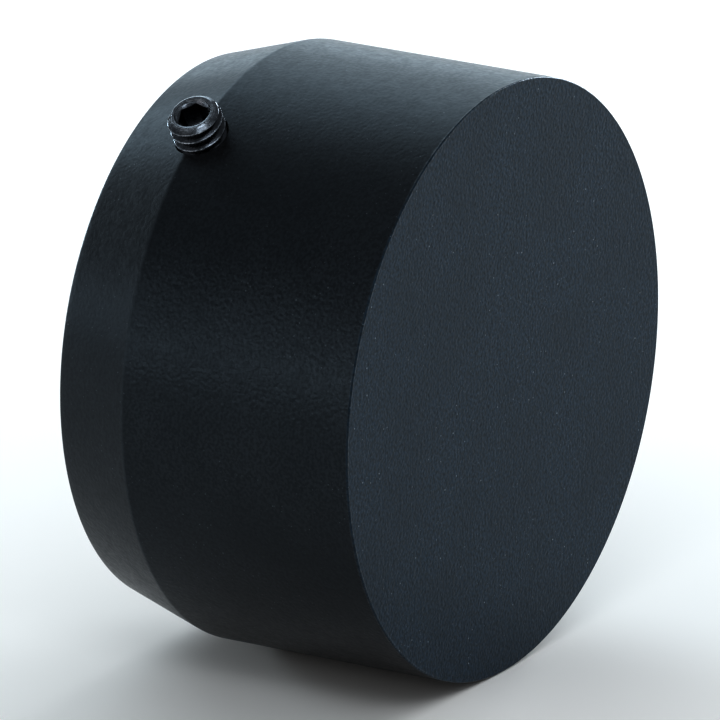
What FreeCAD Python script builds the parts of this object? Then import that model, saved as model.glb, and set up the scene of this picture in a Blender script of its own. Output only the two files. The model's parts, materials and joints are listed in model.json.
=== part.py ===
import FreeCAD, Part
import os
import re
import Sketcher

# Slip-on pipe cap for 2 inch nominal pipe, held by one socket set screw. Millimetres.
#
# Frame: the origin is the centre of the pipe socket's mouth. The pipe leaves along +Y, the closed
# face looks along -Y, and +Z is up.

DIMENSIONS = {
    # The cap: a thick cup turned from one piece.
    "cap_radius": 35.0,
    "cap_length": 40.0,
    "rim_radius": 31.9,          # outside of the mouth, at the small end of the bevel
    "bevel_length": 10.2,
    "bore_radius": 30.4,         # a 60.3 mm pipe with 0.25 mm all round
    "bore_depth": 35.0,
    "mouth_chamfer": 0.4,
    "face_round": 0.2,           # the edge between the closed face and the wall
    "shoulder_round": 1.5,       # the edge between the wall and the bevel
    "rim_round": 0.3,
    "floor_round": 0.8,
    # The screw hole: radial, on the shoulder where the bevel starts.
    "hole_station": 10.7,        # from the mouth, towards the closed face
    "hole_angle": 32.0,          # from +Z, towards -X
    "hole_radius": 3.22,
    "hole_countersink": 0.15,
    "cutter_foot": 15.0,         # the hole's cutter starts here, in the empty bore,
    "cutter_height": 1.05,       # and stands this far out of the wall
    # The set screw: 1/4-20 UNC by 5/16 inch, cup point, 1/8 inch hexagon socket.
    "thread_radius": 3.16,
    "thread_pitch": 1.27,
    "thread_depth": 0.77,
    "thread_root": 0.22,         # width of the flat at the bottom of the groove
    "thread_slope": 0.577,       # tangent of the 30 degree flank
    "thread_overcut": 0.1,       # how far the cutter stands out of the blank
    "thread_start": -0.35,       # middle of the groove's first turn, above the point
    "thread_turns": 8,
    "screw_length": 7.9,
    "screw_proud": 3.4,          # how far the socket end stands out of the wall at rest
    "end_radius": 2.49,
    "end_chamfer": 0.45,
    "countersink_radius": 2.15,  # the socket's mouth: a short steep wall,
    "ledge_radius": 2.05,
    "ledge_depth": 0.2,
    "ledge_slope": 0.577,        # then a ledge that falls 30 degrees towards the hexagon
    "socket_flats": 3.2,
    "socket_depth": 3.3,
    "socket_turn": 16.5,         # turn of the hexagon about the screw's axis
    "pilot_radius": 1.5,
    "pilot_point": 0.9,
    "cup_radius": 1.68,
    "cup_depth": 1.0,
}

SAME = 1e-6                      # two lengths this close are the same, in mm
LEAST_CUT = 0.1                  # a cut that takes less than this has missed, in mm3

doc = FreeCAD.newDocument("PipeCap")
sheet = doc.addObject("Spreadsheet::Sheet", "Dimensions")
for row, (name, value) in enumerate(DIMENSIONS.items(), start=1):
    sheet.set("A%d" % row, name)
    sheet.set("B%d" % row, str(value))
    sheet.setAlias("B%d" % row, name)
doc.recompute()


# --- helpers -------------------------------------------------------------------------------------

def size(text):
    """The value of an expression on the sheet's aliases."""
    return float(sheet.evalExpression(text))


def bound(text):
    """The same expression as another object writes it, with the sheet's name before each alias."""
    return re.sub("[a-z]+_[a-z_]+", lambda alias: "Dimensions." + alias.group(), text)


def add_body(name):
    body = doc.addObject("PartDesign::Body", name)
    body.Label = name
    return body


def add_sketch(body, name, role):
    """A sketch on one of the body's own origin planes."""
    sketch = body.newObject("Sketcher::SketchObject", name)
    plane = [feature for feature in body.Origin.OriginFeatures if feature.Role == role][0]
    sketch.AttachmentSupport = (plane, [""])
    sketch.MapMode = "FlatFace"
    return sketch


def place_point(sketch, line, end, corner):
    """Binds one end of a line to a corner (x, y), two expressions on the sheet's aliases."""
    for kind, text, axis in (("DistanceX", corner[0], -2), ("DistanceY", corner[1], -1)):
        if text == "0":
            sketch.addConstraint(Sketcher.Constraint("PointOnObject", line, end, axis))
        else:
            constraint = Sketcher.Constraint(kind, -1, 1, line, end, size(text))
            number = sketch.addConstraint(constraint)
            sketch.setExpression("Constraints[%d]" % number, bound(text))


def add_outline(sketch, corners):
    """A closed outline of straight lines through the corners."""
    points = [FreeCAD.Vector(size(x), size(y), 0) for x, y in corners]
    count = len(points)
    for index in range(count):
        sketch.addGeometry(Part.LineSegment(points[index], points[(index + 1) % count]))
    for index in range(count):
        sketch.addConstraint(Sketcher.Constraint("Coincident", index, 2, (index + 1) % count, 1))
    for index, corner in enumerate(corners):
        place_point(sketch, index, 1, corner)


def revolve(body, kind, name, sketch, axis):
    feature = body.newObject(kind, name)
    feature.Profile = sketch
    feature.ReferenceAxis = (sketch, [axis])
    feature.Angle = 360.0
    doc.recompute()


def round_edge(body, name, radius, station, alias):
    """Rounds the circle of this radius about the cap's axis, this far from the mouth."""
    base = body.Tip
    edges = []
    for number, edge in enumerate(base.Shape.Edges, start=1):
        if not isinstance(edge.Curve, Part.Circle):
            continue
        miss = edge.Curve.Center.distanceToPoint(FreeCAD.Vector(0, -size(station), 0))
        if miss < SAME and abs(edge.Curve.Radius - size(radius)) < SAME:
            edges.append("Edge%d" % number)
    if not edges:
        raise ValueError("nothing to round for " + name)
    fillet = body.newObject("PartDesign::Fillet", name)
    fillet.Base = (base, edges)
    fillet.Radius = size(alias)
    fillet.setExpression("Radius", bound(alias))
    doc.recompute()


def check_cut(body, before, name):
    """Stops if the last cut took nothing away. Returns the new volume."""
    after = body.Shape.Volume
    if not 0 < after < before - LEAST_CUT:
        raise ValueError("%s cut nothing: %.2f then %.2f mm3" % (name, before, after))
    return after


# --- cap_body: the one-piece cap -----------------------------------------------------------------

cap = add_body("cap_body")

cup_profile = add_sketch(cap, "cup_profile", "YZ_Plane")
add_outline(cup_profile, [
    ("0", "bore_radius + mouth_chamfer"),
    ("0", "rim_radius"),
    ("-bevel_length", "cap_radius"),
    ("-cap_length", "cap_radius"),
    ("-cap_length", "0"),
    ("-bore_depth", "0"),
    ("-bore_depth", "bore_radius"),
    ("-mouth_chamfer", "bore_radius"),
])
revolve(cap, "PartDesign::Revolution", "turned_cup", cup_profile, "H_Axis")

round_edge(cap, "face_edge", "cap_radius", "cap_length", "face_round")
round_edge(cap, "shoulder", "cap_radius", "bevel_length", "shoulder_round")
round_edge(cap, "rim_edge", "rim_radius", "0", "rim_round")
round_edge(cap, "floor_corner", "bore_radius", "bore_depth", "floor_round")
cup_volume = cap.Shape.Volume

# The screw hole's half section, in a plane that holds the cap's axis and the screw's. The hole
# starts in the empty bore and opens with a light countersink just under the cap's skin.
hole_profile = add_sketch(cap, "hole_profile", "YZ_Plane")
hole_profile.AttachmentOffset = FreeCAD.Placement(
    FreeCAD.Vector(), FreeCAD.Rotation(FreeCAD.Vector(1, 0, 0), -size("hole_angle")))
hole_profile.setExpression(".AttachmentOffset.Rotation.Angle", bound("-hole_angle"))
add_outline(hole_profile, [
    ("-hole_station", "cutter_foot"),
    ("hole_radius - hole_station", "cutter_foot"),
    ("hole_radius - hole_station", "cap_radius - hole_countersink"),
    ("hole_radius - hole_station + hole_countersink + cutter_height", "cap_radius + cutter_height"),
    ("-hole_station", "cap_radius + cutter_height"),
])
axis_line = hole_profile.addGeometry(
    Part.LineSegment(FreeCAD.Vector(-size("hole_station"), 0, 0),
                     FreeCAD.Vector(-size("hole_station"), size("cap_radius"), 0)), True)
place_point(hole_profile, axis_line, 1, ("-hole_station", "0"))
place_point(hole_profile, axis_line, 2, ("-hole_station", "cap_radius"))
doc.recompute()
revolve(cap, "PartDesign::Groove", "screw_hole", hole_profile, "Axis0")
check_cut(cap, cup_volume, "screw_hole")


# --- set_screw: modelled along its own +Z, point down, then put in its hole ------------------------

screw = add_body("set_screw")

blank_profile = add_sketch(screw, "blank_profile", "XZ_Plane")
add_outline(blank_profile, [
    ("0", "cup_depth"),
    ("cup_radius", "0"),
    ("thread_radius", "thread_radius - cup_radius"),
    ("thread_radius", "screw_length - end_chamfer"),
    ("end_radius", "screw_length"),
    ("countersink_radius", "screw_length"),
    ("ledge_radius", "screw_length - ledge_depth"),
    ("pilot_radius", "screw_length - ledge_depth - (ledge_radius - pilot_radius) * ledge_slope"),
    ("pilot_radius", "screw_length - socket_depth"),
    ("0", "screw_length - socket_depth - pilot_point"),
])
revolve(screw, "PartDesign::Revolution", "turned_blank", blank_profile, "V_Axis")
blank_volume = screw.Shape.Volume

socket_profile = add_sketch(screw, "socket_profile", "XY_Plane")
socket_profile.AttachmentOffset = FreeCAD.Placement(
    FreeCAD.Vector(0, 0, size("screw_length")), FreeCAD.Rotation())
socket_profile.setExpression(".AttachmentOffset.Base.z", bound("screw_length"))
add_outline(socket_profile, [
    ("socket_flats / sqrt(3) * cos(socket_turn + %d)" % turn,
     "socket_flats / sqrt(3) * sin(socket_turn + %d)" % turn)
    for turn in range(0, 360, 60)])
socket = screw.newObject("PartDesign::Pocket", "hexagon_socket")
socket.Profile = socket_profile
socket.Length = size("socket_depth")
socket.setExpression("Length", bound("socket_depth"))
doc.recompute()
socket_volume = check_cut(screw, blank_volume, "hexagon_socket")

# The thread: a 60 degree groove wound from below the point to past the socket end.
groove_profile = add_sketch(screw, "groove_profile", "XZ_Plane")
root_half = "thread_root / 2"
mouth_half = "(thread_root / 2 + (thread_depth + thread_overcut) * thread_slope)"
add_outline(groove_profile, [
    ("thread_radius - thread_depth", "thread_start - " + root_half),
    ("thread_radius + thread_overcut", "thread_start - " + mouth_half),
    ("thread_radius + thread_overcut", "thread_start + " + mouth_half),
    ("thread_radius - thread_depth", "thread_start + " + root_half),
])
thread = screw.newObject("PartDesign::SubtractiveHelix", "thread")
thread.Profile = groove_profile
thread.ReferenceAxis = (groove_profile, ["V_Axis"])
thread.Mode = "pitch-height-angle"
thread.setExpression("Pitch", bound("thread_pitch"))
thread.setExpression("Height", bound("thread_pitch * thread_turns"))
doc.recompute()
check_cut(screw, socket_volume, "thread")

turn_to_hole = FreeCAD.Rotation(FreeCAD.Vector(0, 1, 0), -size("hole_angle"))
outward = turn_to_hole.multVec(FreeCAD.Vector(0, 0, 1))
point_height = size("cap_radius + screw_proud - screw_length")
screw.Placement = FreeCAD.Placement(
    outward * point_height - FreeCAD.Vector(0, size("hole_station"), 0), turn_to_hole)
doc.recompute()


# --- check and write -------------------------------------------------------------------------------

for item in doc.Objects:
    if "Invalid" in item.State or "Error" in item.State:
        raise ValueError("%s is %s" % (item.Name, item.State))

os.makedirs("parts", exist_ok=True)
for body in (cap, screw):
    shape = body.Shape
    if shape.isNull() or not shape.isValid() or len(shape.Solids) != 1:
        raise ValueError(body.Label + " is not one valid solid")
    shape.exportStep("parts/%s.step" % body.Label)
    print("%s: %.1f mm3, box %s" % (body.Label, shape.Volume, shape.BoundBox))
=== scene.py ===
import json
import math

import bmesh
import bpy
from mathutils import Matrix, Vector


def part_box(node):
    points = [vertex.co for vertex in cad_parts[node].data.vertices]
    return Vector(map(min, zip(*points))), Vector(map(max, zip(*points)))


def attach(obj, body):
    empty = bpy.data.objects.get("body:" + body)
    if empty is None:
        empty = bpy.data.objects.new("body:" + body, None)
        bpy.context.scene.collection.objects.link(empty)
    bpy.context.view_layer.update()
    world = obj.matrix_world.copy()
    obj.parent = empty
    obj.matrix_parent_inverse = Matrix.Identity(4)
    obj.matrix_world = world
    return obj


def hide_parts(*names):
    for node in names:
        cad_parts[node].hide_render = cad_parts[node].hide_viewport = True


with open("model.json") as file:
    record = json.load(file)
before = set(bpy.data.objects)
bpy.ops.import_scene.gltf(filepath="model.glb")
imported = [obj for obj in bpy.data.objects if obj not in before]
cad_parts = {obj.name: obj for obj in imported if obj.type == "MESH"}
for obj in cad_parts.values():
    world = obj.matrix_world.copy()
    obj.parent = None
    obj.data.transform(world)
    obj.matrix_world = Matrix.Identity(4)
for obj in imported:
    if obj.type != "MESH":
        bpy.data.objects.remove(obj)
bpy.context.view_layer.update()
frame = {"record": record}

MM = 0.001

# The frame: the cap's axis is Y, the closed face looks along -Y, and +Z is up.
cap_low, cap_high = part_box("cap_body")
CAP_RADIUS = cap_high.z
CAP_LENGTH = -cap_low.y
MOUNTS = {mount["name"]: mount for mount in frame["record"]["mounts"]}
SCREW_AXIS = Vector(MOUNTS["key_socket"]["axis"]).normalized()
SCREW_END = Vector(MOUNTS["key_socket"]["pos_m"])
FACE_CENTRE = Vector((0, -CAP_LENGTH, 0))


# --- camera --------------------------------------------------------------------------------------

def add_camera(azimuth, elevation, distance, right_of_face, below_face, lens):
    """A camera that looks past the closed face's centre: the face lies right of the picture's
    middle and below it, both in cap radii. No roll."""
    turn, rise = math.radians(azimuth), math.radians(elevation)
    back = Vector((math.sin(turn) * math.cos(rise), -math.cos(turn) * math.cos(rise), math.sin(rise)))
    right = Vector((math.cos(turn), math.sin(turn), 0))
    up = back.cross(right)
    target = FACE_CENTRE - right * right_of_face * CAP_RADIUS + up * below_face * CAP_RADIUS
    data = bpy.data.cameras.new("camera")
    data.lens = lens
    data.sensor_width = 36
    data.clip_start = 0.01
    data.clip_end = 20
    camera = bpy.data.objects.new("camera", data)
    bpy.context.scene.collection.objects.link(camera)
    camera.location = target + back * distance * CAP_RADIUS
    camera.rotation_mode = "QUATERNION"
    camera.rotation_quaternion = (-back).to_track_quat("-Z", "Y")
    bpy.context.scene.camera = camera


add_camera(azimuth=-58.967, elevation=17.787, distance=44.89,
           right_of_face=0.4747, below_face=0.0666, lens=689.5)


# --- studio --------------------------------------------------------------------------------------

def add_floor():
    """A pale floor just under the cap."""
    half = 4.0
    gap = 0.05 * MM
    height = -CAP_RADIUS - gap
    mesh = bpy.data.meshes.new("floor")
    corners = [(x * half, y * half, height) for x, y in ((-1, -1), (1, -1), (1, 1), (-1, 1))]
    mesh.from_pydata(corners, [], [(0, 1, 2, 3)])
    floor = bpy.data.objects.new("floor", mesh)
    bpy.context.scene.collection.objects.link(floor)
    material = bpy.data.materials.new("floor_paper")
    material.use_nodes = True
    shader = material.node_tree.nodes["Principled BSDF"]
    shader.inputs["Base Color"].default_value = (0.96, 0.905, 0.862, 1)
    shader.inputs["Roughness"].default_value = 0.9
    shader.inputs["Specular IOR Level"].default_value = 0.1
    mesh.materials.append(material)


def add_soft_light(name, direction, distance, width, height, watts, colour):
    """A rectangular soft light that faces the cap's middle from a direction."""
    data = bpy.data.lights.new(name, "AREA")
    data.shape = "RECTANGLE"
    data.size = width
    data.size_y = height
    data.energy = watts
    data.color = colour
    light = bpy.data.objects.new(name, data)
    bpy.context.scene.collection.objects.link(light)
    away = Vector(direction).normalized()
    light.location = Vector((0, -CAP_LENGTH / 2, 0)) + away * distance
    light.rotation_mode = "QUATERNION"
    light.rotation_quaternion = (-away).to_track_quat("-Z", "Y")


# Light colours: most of the studio is a pale blue, cooler behind the cap and neutral beyond its
# left side.
PALE = (0.86, 0.94, 1.0)
COOL = (0.80, 0.95, 1.04)
NEUTRAL = (0.97, 0.95, 0.94)

# Each light: name, direction from the cap's middle, distance, width and height in metres, watts
# and colour.
LIGHTS = [
    ("br_horizon", (0.8, 0.58, 0.14), 1.0, 0.5, 0.22, 0.582, COOL),
    ("br_low", (0.8, 0.5, 0.34), 1.0, 0.5, 0.25, 0.513, COOL),
    ("br_mid", (0.66, 0.5, 0.57), 1.0, 0.5, 0.25, 0.872, COOL),
    ("br_high", (0.43, 0.5, 0.76), 1.0, 0.5, 0.25, 0.742, COOL),
    ("back_mid", (0.34, 0.78, 0.52), 1.0, 0.4, 0.3, 1.157, COOL),
    ("back_small", (0.25, 0.95, 0.13), 1.0, 0.25, 0.15, 3.582, COOL),
    ("back_left_near", (-0.1, 0.98, 0.08), 0.3, 0.12, 0.05, 0.054, PALE),
    ("bl_horizon", (-0.43, 0.89, 0.15), 1.0, 0.5, 0.22, 0.478, PALE),
    ("left_strip", (-0.86, 0.485, 0.13), 1.0, 0.5, 0.12, 0.837, NEUTRAL),
    ("left_mid", (-0.78, 0.48, 0.38), 1.0, 0.5, 0.2, 0.367, NEUTRAL),
    ("right_low", (0.97, -0.1, 0.2), 1.0, 0.6, 0.3, 12.227, PALE),
    ("fr_low", (0.75, -0.62, 0.22), 1.0, 0.6, 0.3, 1.041, PALE),
    ("softbox", (-0.6, -0.34, 0.72), 1.0, 0.6, 0.25, 1.800, PALE),
]
for light in LIGHTS:
    add_soft_light(*light)

world = bpy.data.worlds.new("world")
world.use_nodes = True
surroundings = world.node_tree.nodes["Background"].inputs
surroundings["Color"].default_value = (*PALE, 1)
surroundings["Strength"].default_value = 0.472
bpy.context.scene.world = world
bpy.context.scene.view_settings.view_transform = "Standard"
bpy.context.scene.view_settings.gamma = 0.68
add_floor()


# --- meshes --------------------------------------------------------------------------------------

def rounded(corners):
    """An open path through corners (x, y, radius, steps), in millimetres. A corner with a radius
    becomes an arc of that many steps."""
    points = []
    for index, (x, y, radius, steps) in enumerate(corners):
        corner = Vector((x, y))
        if not radius:
            points.append(corner)
            continue
        before = (Vector(corners[index - 1][:2]) - corner).normalized()
        after = (Vector(corners[index + 1][:2]) - corner).normalized()
        half = before.angle(after) / 2
        centre = corner + (before + after).normalized() * radius / math.sin(half)
        start = (corner + before * radius / math.tan(half) - centre).normalized()
        end = (corner + after * radius / math.tan(half) - centre).normalized()
        for step in range(steps + 1):
            points.append(centre + start.slerp(end, step / steps) * radius)
    return points


def turned_mesh(points, segments, place):
    """A closed surface of revolution. points are (radius, height) in millimetres, from one pole
    to the other, and place puts its own axis +Z into the object's frame."""
    mesh = bmesh.new()
    rings = []
    for radius, height in points:
        if radius < 1e-6:
            rings.append([mesh.verts.new(place @ Vector((0, 0, height * MM)))])
            continue
        ring = []
        for step in range(segments):
            angle = 2 * math.pi * step / segments
            spot = Vector((radius * math.cos(angle), radius * math.sin(angle), height)) * MM
            ring.append(mesh.verts.new(place @ spot))
        rings.append(ring)
    for low, high in zip(rings, rings[1:]):
        for step in range(segments):
            after = (step + 1) % segments
            corners = [low[step % len(low)], low[after % len(low)],
                       high[after % len(high)], high[step % len(high)]]
            mesh.faces.new(list(dict.fromkeys(corners)))
    return mesh


def add_piece(name, mesh, body=None, replaces=None):
    """A smooth-shaded object from a bmesh, with outward normals."""
    bmesh.ops.recalc_face_normals(mesh, faces=mesh.faces)
    data = bpy.data.meshes.new(name)
    mesh.to_mesh(data)
    mesh.free()
    data.shade_smooth()
    piece = bpy.data.objects.new(name, data)
    bpy.context.scene.collection.objects.link(piece)
    if body:
        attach(piece, body)
        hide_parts(replaces)
    return piece


# The cap, in millimetres.
WALL_RADIUS = 35
LENGTH = 40
BEVEL_LENGTH = 10.2
RIM_RADIUS = 31.9
BORE_RADIUS = 30.4
BORE_DEPTH = 35
MOUTH_CHAMFER = 0.4


def on_bevel(radius):
    """The section's point on the bevel at this radius."""
    return radius, -BEVEL_LENGTH * (radius - RIM_RADIUS) / (WALL_RADIUS - RIM_RADIUS), 0, 0


# The cap's section as (radius, distance from the mouth, corner round, steps), from the closed
# face's centre to the bore's floor. Points without a round only keep the faces short.
CAP_SECTION = [
    *[(radius, -LENGTH, 0, 0) for radius in (0, 10, 22, 30, 34)],
    (WALL_RADIUS, -LENGTH, 0.2, 5),
    *[(WALL_RADIUS, -station, 0, 0) for station in (39, 37, 30, 22, 16, 13)],
    (WALL_RADIUS, -BEVEL_LENGTH, 1.5, 8),
    on_bevel(33.4),
    on_bevel(32.2),
    (RIM_RADIUS, 0, 0.3, 5),
    (BORE_RADIUS + MOUTH_CHAMFER, 0, 0.08, 3),
    (BORE_RADIUS, -MOUTH_CHAMFER, 0.08, 3),
    *[(BORE_RADIUS, -station, 0, 0) for station in (1.5, 6, 16, 26, 33)],
    (BORE_RADIUS, -BORE_DEPTH, 0.8, 6),
    *[(radius, -BORE_DEPTH, 0, 0) for radius in (28, 18, 8, 0)],
]
CAP_SEGMENTS = 360
ALONG_Y = Matrix.Rotation(math.radians(-90), 4, "X")

# The screw, in millimetres: 1/4-20 UNC, 7.9 mm long. Its own +Z is its axis, point at zero.
SCREW_LENGTH = 7.9
SCREW_PROUD = 3.4
SCREW_SEGMENTS = 120
THREAD_RADIUS = 3.16
THREAD_PITCH = 1.27
THREAD_ROOT_RADIUS = 2.39
THREAD_ROOT_HALF = 0.11
THREAD_MOUTH_HALF = 0.554
THREAD_START = -0.35
END_RADIUS = 2.49
END_CHAMFER = 0.45
MOUTH_RADIUS = 2.15
LEDGE_RADIUS = 2.05
LEDGE_DEPTH = 0.2
LEDGE_SLOPE = 0.577
SOCKET_FLATS = 3.2
SOCKET_DEPTH = 3.3
SOCKET_TURN = math.radians(16.5)
PILOT_RADIUS = 1.5
PILOT_POINT = 0.9
CUP_RADIUS = 1.68
CUP_DEPTH = 1.0
NEAR_AXIS = 0.02
HOLE_RADIUS = 3.22
HOLE_COUNTERSINK = 0.15
CUTTER_HEIGHT = 1.05
CUTTER_DEPTH = 20
SCREW_SIDE = Vector((0, 1, 0)).cross(SCREW_AXIS)
SCREW_PLACE = Matrix((
    (*SCREW_SIDE, 0), (0, 1, 0, 0), (*SCREW_AXIS, 0), (0, 0, 0, 1))).transposed()
SCREW_PLACE.translation = SCREW_END - SCREW_AXIS * SCREW_LENGTH * MM


def cap_mesh():
    """The turned cup with the screw's hole cut through its wall."""
    path = [(point.x, point.y) for point in rounded(CAP_SECTION)]
    cup = add_piece("cap", turned_mesh(path, CAP_SEGMENTS, ALONG_Y))
    wall = SCREW_LENGTH - SCREW_PROUD
    foot, top = wall - CUTTER_DEPTH, wall + CUTTER_HEIGHT
    cutter_path = rounded([
        (0, foot, 0, 0),
        (HOLE_RADIUS, foot, 0, 0),
        (HOLE_RADIUS, wall - HOLE_COUNTERSINK, 0.12, 4),
        (HOLE_RADIUS + HOLE_COUNTERSINK + CUTTER_HEIGHT, top, 0, 0),
        (0, top, 0, 0)])
    cutter = add_piece("hole_cutter", turned_mesh(
        [(point.x, point.y) for point in cutter_path], 96, SCREW_PLACE))
    cut = cup.modifiers.new("screw_hole", "BOOLEAN")
    cut.operation = "DIFFERENCE"
    cut.solver = "EXACT"
    cut.object = cutter
    graph = bpy.context.evaluated_depsgraph_get()
    mesh = bpy.data.meshes.new_from_object(cup.evaluated_get(graph))
    mesh.set_sharp_from_angle(angle=math.radians(32))
    bpy.data.objects.remove(cutter)
    bpy.data.objects.remove(cup)
    return mesh


def thread_rows():
    """One turn of the thread as (height, radius), from one groove's middle to the next."""
    root, crest = THREAD_ROOT_RADIUS, THREAD_RADIUS
    path = rounded([(0, root, 0, 0), (THREAD_ROOT_HALF, root, 0.07, 3),
                    (THREAD_MOUTH_HALF, crest, 0.05, 4),
                    (THREAD_PITCH - THREAD_MOUTH_HALF, crest, 0.05, 4),
                    (THREAD_PITCH - THREAD_ROOT_HALF, root, 0.07, 3), (THREAD_PITCH, root, 0, 0)])
    rows = []
    for low, high in zip(path, path[1:]):
        parts = max(1, math.ceil((high - low).length / 0.09))
        rows += [low.lerp(high, part / parts) for part in range(parts)]
    return [(point.x, point.y) for point in rows]


def hexagon(angle, flats, turn):
    """How far a hexagon's side is from its middle in this direction, with soft corners."""
    sweep = (angle - turn + math.pi / 6) % (math.pi / 3) - math.pi / 6
    sharp = flats / 2 / math.cos(math.pi / 6 - abs(sweep))
    return sharp - 0.05 * max(0, 1 - abs(sweep) / math.radians(6))


def screw_mesh():
    """The set screw in one closed skin: cup point, thread, chamfer, end ring and hexagon socket."""
    mesh = bmesh.new()
    turns = [2 * math.pi * (step + 0.5) / SCREW_SEGMENTS for step in range(SCREW_SEGMENTS)]
    rows = thread_rows()
    heights = [(THREAD_START + THREAD_PITCH * turn + height, radius)
               for turn in range(-2, 8) for height, radius in rows]

    def spot(angle, radius, height):
        place = Vector((radius * math.cos(angle), radius * math.sin(angle), height)) * MM
        return mesh.verts.new(SCREW_PLACE @ place)

    columns = []
    for angle in turns:
        column = []
        for start, radius in heights:
            height = start + THREAD_PITCH * angle / (2 * math.pi)
            chamfer = (THREAD_RADIUS - END_RADIUS) / END_CHAMFER
            top = END_RADIUS + (SCREW_LENGTH - height) * chamfer
            point = CUP_RADIUS + height
            least = END_RADIUS if height > SCREW_LENGTH else CUP_RADIUS
            radius = max(min(radius, top, point), least)
            column.append(spot(angle, radius, min(max(height, 0), SCREW_LENGTH)))
        columns.append(column)
    for step in range(SCREW_SEGMENTS):
        near, far = columns[step], columns[(step + 1) % SCREW_SEGMENTS]
        lead = len(rows) if step == SCREW_SEGMENTS - 1 else 0
        for row in range(len(heights) - 1 - lead):
            mesh.faces.new([near[row], far[row + lead], far[row + 1 + lead], near[row + 1]])

    end, floor = SCREW_LENGTH, SCREW_LENGTH - SOCKET_DEPTH
    sides = [hexagon(angle, SOCKET_FLATS, SOCKET_TURN) for angle in turns]
    ledge = [end - LEDGE_DEPTH - (LEDGE_RADIUS - side) * LEDGE_SLOPE for side in sides]
    profile = [(END_RADIUS, end), (END_RADIUS - 0.03, end), (MOUTH_RADIUS + 0.03, end),
               (MOUTH_RADIUS, end - 0.015), (MOUTH_RADIUS - 0.02, end - 0.05),
               (LEDGE_RADIUS + 0.01, end - 0.18), (LEDGE_RADIUS - 0.02, end - 0.212)]
    rings = [[place] * SCREW_SEGMENTS for place in profile]
    for inward, drop in ((0.03, -0.017), (0, 0.02), (0, 0.07)):
        rings.append([(side + inward, height - drop) for side, height in zip(sides, ledge)])
    rings.append([(side, floor) for side in sides])
    for place in ((PILOT_RADIUS, floor), (NEAR_AXIS, floor - PILOT_POINT)):
        rings.append([place] * SCREW_SEGMENTS)
    bridge(mesh, turns, rings, spot)
    cup = [(CUP_RADIUS, 0), (CUP_RADIUS - 0.04, 0.02), (NEAR_AXIS, CUP_DEPTH)]
    bridge(mesh, turns, [[place] * SCREW_SEGMENTS for place in cup], spot)
    same = 0.0005 * MM
    bmesh.ops.remove_doubles(mesh, verts=mesh.verts, dist=same)
    bmesh.ops.dissolve_degenerate(mesh, dist=same, edges=mesh.edges)
    return mesh


def bridge(mesh, turns, rings, spot):
    """Joins rings of (radius, height) and closes the last one."""
    built = [[spot(angle, *place) for angle, place in zip(turns, ring)] for ring in rings]
    for low, high in zip(built, built[1:]):
        for step in range(len(turns)):
            after = (step + 1) % len(turns)
            mesh.faces.new([low[step], low[after], high[after], high[step]])
    mesh.faces.new(built[-1])


cap = bpy.data.objects.new("cap_skin", cap_mesh())
bpy.context.scene.collection.objects.link(cap)
weights = cap.modifiers.new("face_weights", "WEIGHTED_NORMAL")
weights.keep_sharp = True
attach(cap, "cap")
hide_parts("cap_body")
screw = add_piece("screw_skin", screw_mesh(), "screw", "set_screw")


# --- materials -------------------------------------------------------------------------------------

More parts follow.
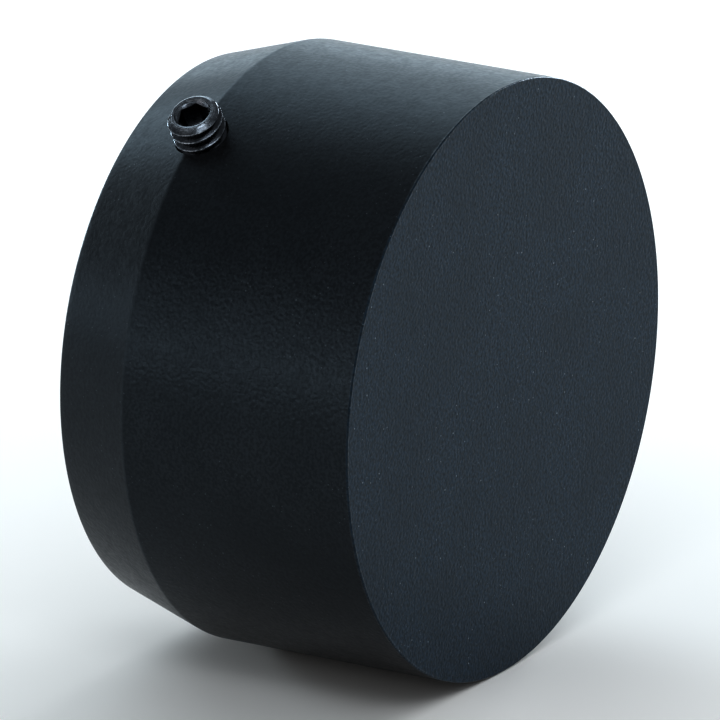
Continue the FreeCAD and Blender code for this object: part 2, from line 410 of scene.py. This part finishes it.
class Nodes:
    """A material's node tree, with short calls for the nodes used here."""

    def __init__(self, name):
        self.material = bpy.data.materials.new(name)
        self.material.use_nodes = True
        self.tree = self.material.node_tree
        self.shader = self.tree.nodes["Principled BSDF"]

    def add(self, kind, inputs=None, **settings):
        node = self.tree.nodes.new(kind)
        for key, value in settings.items():
            setattr(node, key, value)
        for key, value in (inputs or {}).items():
            self.set(node.inputs[key], value)
        return node

    def set(self, socket, value):
        if isinstance(value, bpy.types.NodeSocket):
            self.tree.links.new(value, socket)
        else:
            socket.default_value = value

    def math(self, operation, first, second=0.0):
        return self.add("ShaderNodeMath", {0: first, 1: second}, operation=operation).outputs[0]

    def mix(self, share, first, second):
        node = self.add("ShaderNodeMix", {0: share, 6: first, 7: second}, data_type="RGBA")
        return node.outputs[2]

    def blend(self, share, first, second):
        """mix, for single numbers."""
        return self.add("ShaderNodeMix", {0: share, 2: first, 3: second}).outputs[0]

    def ramp(self, value, low, high, to_low=0.0, to_high=1.0):
        node = self.add("ShaderNodeMapRange",
                        {"Value": value, "From Min": low, "From Max": high,
                         "To Min": to_low, "To Max": to_high},
                        interpolation_type="SMOOTHSTEP")
        return node.outputs[0]

    def millimetres(self):
        """The place on the piece in the object's frame, in millimetres."""
        place = self.add("ShaderNodeTexCoord").outputs["Object"]
        node = self.add("ShaderNodeVectorMath", {0: place}, operation="SCALE")
        node.inputs["Scale"].default_value = 1 / MM
        return node.outputs[0]

    def noise(self, place, grain, detail=2.0, roughness=0.5):
        """Soft noise from 0 to 1 whose grains are this many millimetres across."""
        node = self.add("ShaderNodeTexNoise",
                        {"Vector": place, "Scale": 1 / grain, "Detail": detail,
                         "Roughness": roughness})
        return node.outputs["Fac"]

    def specks(self, place, spacing, rarity, radius):
        """Small round specks: at most one to a cell of this spacing, fewer as rarity nears 1, each
        with its own strength. In millimetres."""
        cell = self.add("ShaderNodeTexVoronoi", {"Vector": place, "Scale": 1 / spacing})
        tone = self.add("ShaderNodeSeparateColor", {0: cell.outputs["Color"]})
        chosen = self.math("GREATER_THAN", tone.outputs[0], rarity)
        strength = self.math("POWER", tone.outputs[1], 1.6)
        dot = self.ramp(cell.outputs["Distance"], radius / spacing, radius * 0.4 / spacing)
        return self.math("MULTIPLY", self.math("MULTIPLY", dot, chosen), strength)

    def near_rings(self, place, rings, reach, uneven):
        """1 on any of the rings (radius, distance from the mouth) about the cap's axis, and 0
        beyond reach, with an uneven border."""
        axes = self.add("ShaderNodeSeparateXYZ", {0: place})
        flat = self.add("ShaderNodeCombineXYZ", {0: axes.outputs[0], 1: axes.outputs[2]})
        length = self.add("ShaderNodeVectorMath", {0: flat.outputs[0]}, operation="LENGTH")
        radius = length.outputs["Value"]
        spot = self.add("ShaderNodeCombineXYZ", {0: radius, 1: axes.outputs[1]}).outputs[0]
        nearest = None
        for ring_radius, station in rings:
            gap = self.add("ShaderNodeVectorMath", {0: spot, 1: (ring_radius, station, 0)},
                           operation="DISTANCE").outputs["Value"]
            nearest = gap if nearest is None else self.math("MINIMUM", nearest, gap)
        ragged = self.math("MULTIPLY", self.noise(place, 0.7, detail=3.0), uneven * 4)
        return self.ramp(self.math("ADD", nearest, ragged), reach + uneven * 2, uneven)

    def screw_place(self, place):
        """Distance from the screw's axis, and height over its socket end, in millimetres."""
        end = tuple(SCREW_END / MM)
        from_end = self.add("ShaderNodeVectorMath", {0: place, 1: end},
                            operation="SUBTRACT").outputs[0]
        across = self.add("ShaderNodeVectorMath", {0: from_end, 1: tuple(SCREW_AXIS)},
                          operation="CROSS_PRODUCT").outputs[0]
        radius = self.add("ShaderNodeVectorMath", {0: across}, operation="LENGTH").outputs["Value"]
        height = self.add("ShaderNodeVectorMath", {0: from_end, 1: tuple(SCREW_AXIS)},
                          operation="DOT_PRODUCT").outputs["Value"]
        return radius, height

    def bump(self, height):
        """Height in millimetres."""
        node = self.add("ShaderNodeBump", {"Height": height, "Strength": 1.0, "Distance": MM})
        self.set(self.shader.inputs["Normal"], node.outputs[0])


def powder_coat():
    """Black powder coat: orange peel, a random mottle of tone, pale dusty specks, and a painted
    highlight that lightens its edges. The closed face is coarser, its bluer colour is a painted
    reflection tint and its specks are also painted glints. The wall's peel is strongest along a
    band on each side, where extra lighter mottle is painted highlight grain."""
    nodes = Nodes("powder_coat")
    place = nodes.millimetres()
    peel = nodes.noise(place, 0.46, detail=1.0, roughness=0.35)
    swell = nodes.noise(place, 1.5, detail=1.0)
    cloud = nodes.noise(place, 11.0, detail=2.0)

    axes = nodes.add("ShaderNodeSeparateXYZ", {0: place})
    on_face = nodes.ramp(axes.outputs[1], 0.3 - LENGTH, 0.05 - LENGTH)
    off_flank = nodes.math("ABSOLUTE", nodes.math("SUBTRACT", axes.outputs[2], 8.0))
    off_bevel = nodes.ramp(axes.outputs[1], -9.0, -13.0)
    flank = nodes.math("MULTIPLY", nodes.ramp(off_flank, 24.0, 5.0), off_bevel)
    peel_depth = nodes.blend(on_face, nodes.ramp(flank, 0.0, 1.0, 0.020, 0.066), 0.045)
    dust_and_glints = nodes.math("MAXIMUM", nodes.specks(place, 0.9, 0.75, 0.13),
                      nodes.specks(place, 0.55, 0.5, 0.10))
    # The specks are about six times stronger on the closed face than on the wall: on the face they
    # are also painted glints.
    patchy = nodes.math("MULTIPLY", nodes.ramp(cloud, 0.42, 0.60, 0.25, 1.0),
                        nodes.ramp(on_face, 0, 1, 0.22, 1.3))
    dust_and_glints = nodes.math("MULTIPLY", dust_and_glints, patchy)
    mottle = nodes.noise(place, 0.36, detail=1.0, roughness=0.4)

    black = nodes.mix(nodes.ramp(cloud, 0.3, 0.7), (0.0084, 0.0080, 0.0087, 1),
                      (0.0112, 0.0108, 0.0117, 1))
    # Painted reflection tint: the closed face gets a bluer black than the wall, a lit copy of the
    # same coat.
    black = nodes.mix(on_face, black, (0.0055, 0.0122, 0.0200, 1))
    # More lighter mottle in the band along each side of the wall where the highlight runs, and on the
    # closed face: painted highlight grain there. Elsewhere the mottle is random tone.
    share = nodes.blend(on_face, nodes.ramp(flank, 0.0, 1.0, 0.32, 0.70), 0.85)
    tone = nodes.math("MULTIPLY", share, nodes.ramp(cloud, 0.36, 0.60, 0.70, 1.04))
    mottle_and_highlight_grain = nodes.math("MULTIPLY", nodes.ramp(mottle, 0.36, 0.64), tone)
    # On the closed face the lighter mottle colour is bluer too: painted reflection tint.
    light = nodes.mix(on_face, (0.0265, 0.0290, 0.0325, 1), (0.0172, 0.0378, 0.0630, 1))
    black = nodes.mix(mottle_and_highlight_grain, black, light)
    face_ring = (WALL_RADIUS, -LENGTH)
    edges = [face_ring, (WALL_RADIUS, -BEVEL_LENGTH), (RIM_RADIUS, 0)]
    # Lighter near the face ring, the shoulder and the rim: a painted highlight along the rounded
    # edges.
    painted_edge_highlight = nodes.near_rings(place, edges, 0.35, 0.12)
    black = nodes.mix(nodes.math("MULTIPLY", painted_edge_highlight, 0.45), black, (0.050, 0.056, 0.062, 1))
    colour = nodes.mix(dust_and_glints, black, (0.44, 0.50, 0.55, 1))
    nodes.set(nodes.shader.inputs["Base Color"], colour)
    fine = nodes.ramp(peel, 0.3, 0.7, -0.03, 0.03)
    rough = nodes.math("ADD", nodes.ramp(swell, 0.25, 0.75, 0.31, 0.36), fine)
    nodes.set(nodes.shader.inputs["Roughness"], rough)
    nodes.set(nodes.shader.inputs["Specular IOR Level"], nodes.ramp(on_face, 0, 1, 0.4, 0.32))
    nodes.set(nodes.shader.inputs["Specular Tint"], (0.62, 0.83, 1.0, 1))

    height = nodes.math("ADD", nodes.math("MULTIPLY", peel, peel_depth),
                        nodes.math("MULTIPLY", swell, 0.015))
    height = nodes.math("ADD", height, nodes.math("MULTIPLY", dust_and_glints, 0.01))
    face_edge = nodes.near_rings(place, [face_ring], 0.35, 0.12)
    chipped = nodes.math("MULTIPLY", face_edge, nodes.noise(place, 0.6, detail=2.0))
    height = nodes.math("ADD", height, nodes.math("MULTIPLY", chipped, 0.10))
    nodes.bump(height)
    return nodes.material


def black_oxide():
    """Black oxide on steel: smudges and scuffs, worn bright and turned on the crests and the end."""
    nodes = Nodes("black_oxide")
    place = nodes.millimetres()
    smudge = nodes.noise(place, 1.1, detail=3.0)
    scuff = nodes.noise(place, 0.34, detail=3.0, roughness=0.62)
    grain = nodes.noise(place, 0.12, detail=2.0)
    radius, height = nodes.screw_place(place)
    ragged = nodes.math("MULTIPLY", scuff, 0.24)

    crest = nodes.ramp(nodes.math("ADD", radius, ragged), 3.10, 3.30)
    lip = nodes.ramp(nodes.math("ADD", height, ragged), -0.42, 0.08)
    worn = nodes.math("MAXIMUM", crest, nodes.math("MULTIPLY", lip, 0.75))
    worn = nodes.math("MULTIPLY", worn, nodes.ramp(scuff, 0.32, 0.62, 0.40, 1.0))
    about_axis = nodes.add("ShaderNodeCombineXYZ", {0: radius, 1: height}).outputs[0]
    turned = nodes.noise(about_axis, 0.11, detail=2.0)
    worn = nodes.math("MULTIPLY", worn, nodes.ramp(turned, 0.34, 0.62, 0.30, 1.0))
    chips = nodes.math("MULTIPLY", nodes.specks(place, 0.8, 0.7, 0.16), crest)

    nodes.set(nodes.shader.inputs["Metallic"], 1.0)
    colour = nodes.mix(smudge, (0.036, 0.039, 0.045, 1), (0.095, 0.100, 0.112, 1))
    colour = nodes.mix(nodes.math("MULTIPLY", worn, 0.9), colour, (0.46, 0.49, 0.53, 1))
    colour = nodes.mix(chips, colour, (0.80, 0.80, 0.80, 1))
    nodes.set(nodes.shader.inputs["Base Color"], colour)
    rough = nodes.math("ADD", nodes.ramp(smudge, 0.25, 0.75, 0.16, 0.28),
                       nodes.ramp(scuff, 0.3, 0.7, -0.03, 0.07))
    nodes.set(nodes.shader.inputs["Roughness"], rough)
    relief = nodes.math("ADD", nodes.math("MULTIPLY", grain, 0.008),
                        nodes.math("MULTIPLY", scuff, 0.012))
    nodes.bump(nodes.math("ADD", relief, nodes.math("MULTIPLY", turned, 0.004)))
    return nodes.material


def dress(piece, material):
    piece.data.materials.clear()
    piece.data.materials.append(material)


dress(cap, powder_coat())
dress(screw, black_oxide())
